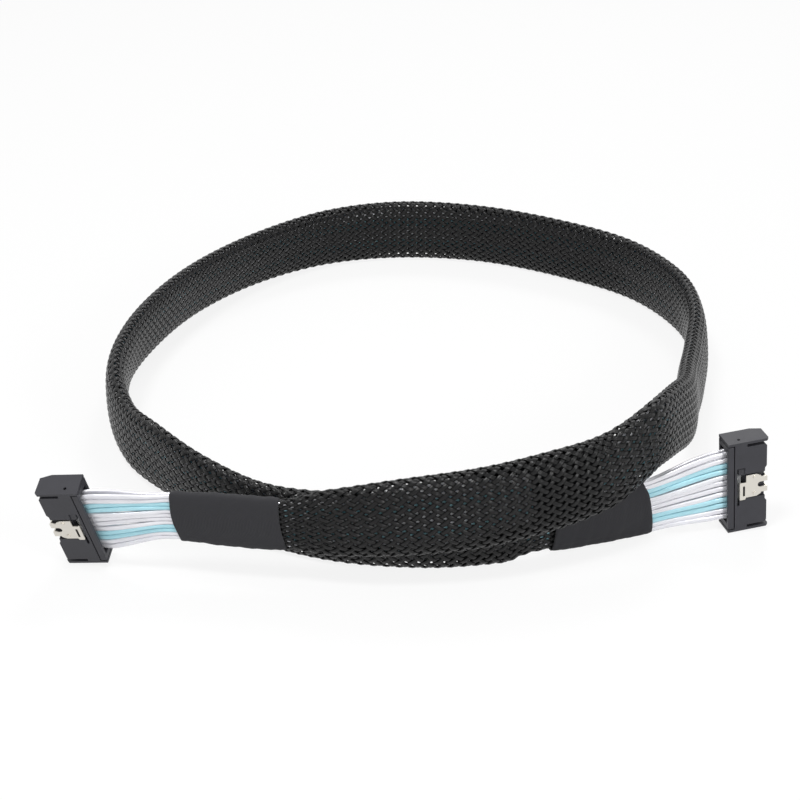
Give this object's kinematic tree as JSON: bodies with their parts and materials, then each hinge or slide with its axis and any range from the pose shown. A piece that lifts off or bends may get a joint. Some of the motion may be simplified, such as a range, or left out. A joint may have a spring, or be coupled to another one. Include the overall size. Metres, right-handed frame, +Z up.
{
  "type": "server cable assembly",
  "caption": "Flat braided internal server cable with a latched edge plug at each end, standing on its edge in one loop with crossed ends.",
  "frame": {"origin": "on the floor, under the middle of the whole cable's bounding box", "axes": "+Z up from the floor; +X to the right and -Y towards the viewer, with the crossed ends and both plugs at the front (-Y)"},
  "size_m": [0.2338, 0.2886, 0.0468],
  "materials": {
    "braid": "glossy monofilament braid",
    "cloth_tape": "matte woven cloth tape",
    "silver_foil": "bright foil under clear film",
    "blue_jacket": "glossy light blue film",
    "housing": "fine matte moulding",
    "latch_steel": "bright stamped stainless",
    "board": "green solder mask",
    "hot_melt": "translucent cast"
  },
  "bodies": {
    "cable": {"wire_front_01": "silver_foil", "wire_front_02": "silver_foil", "wire_front_03": "blue_jacket", "wire_front_04": "blue_jacket", "wire_front_05": "silver_foil", "wire_front_06": "silver_foil", "wire_front_07": "silver_foil", "wire_front_08": "silver_foil", "wire_front_09": "blue_jacket", "wire_front_10": "blue_jacket", "wire_front_11": "silver_foil", "wire_front_12": "silver_foil", "wire_back_01": "silver_foil", "wire_back_02": "silver_foil", "wire_back_03": "blue_jacket", "wire_back_04": "blue_jacket", "wire_back_05": "silver_foil", "wire_back_06": "silver_foil", "wire_back_07": "silver_foil", "wire_back_08": "silver_foil", "wire_back_09": "blue_jacket", "wire_back_10": "blue_jacket", "wire_back_11": "silver_foil", "wire_back_12": "silver_foil", "braided_sleeve": "braid", "inner_tape_wrap": "cloth_tape", "left_tape_wrap": "cloth_tape", "right_tape_wrap": "cloth_tape", "left_housing": "housing", "left_rear_cover": "housing", "left_paddle_card": "board", "left_wire_anchor": "hot_melt", "right_housing": "housing", "right_rear_cover": "housing", "right_paddle_card": "board", "right_wire_anchor": "hot_melt"},
    "left_latch": {"left_latch": "latch_steel"},
    "right_latch": {"right_latch": "latch_steel"}
  },
  "joints": [
    {"name": "left_latch_press", "type": "hinge", "parent": "cable", "child": "left_latch", "pos_m": [-0.11305, -0.13176, 0.01542], "axis": [-0.1903, -0.3266, 0.9258], "range_deg": [0, 3.5], "stiffness_Nm_per_rad": 0.05},
    {"name": "right_latch_press", "type": "hinge", "parent": "cable", "child": "right_latch", "pos_m": [0.11496, -0.10457, 0.01756], "axis": [0.0768, 0.0361, -0.9964], "range_deg": [0, 3.5], "stiffness_Nm_per_rad": 0.05}
  ]
}
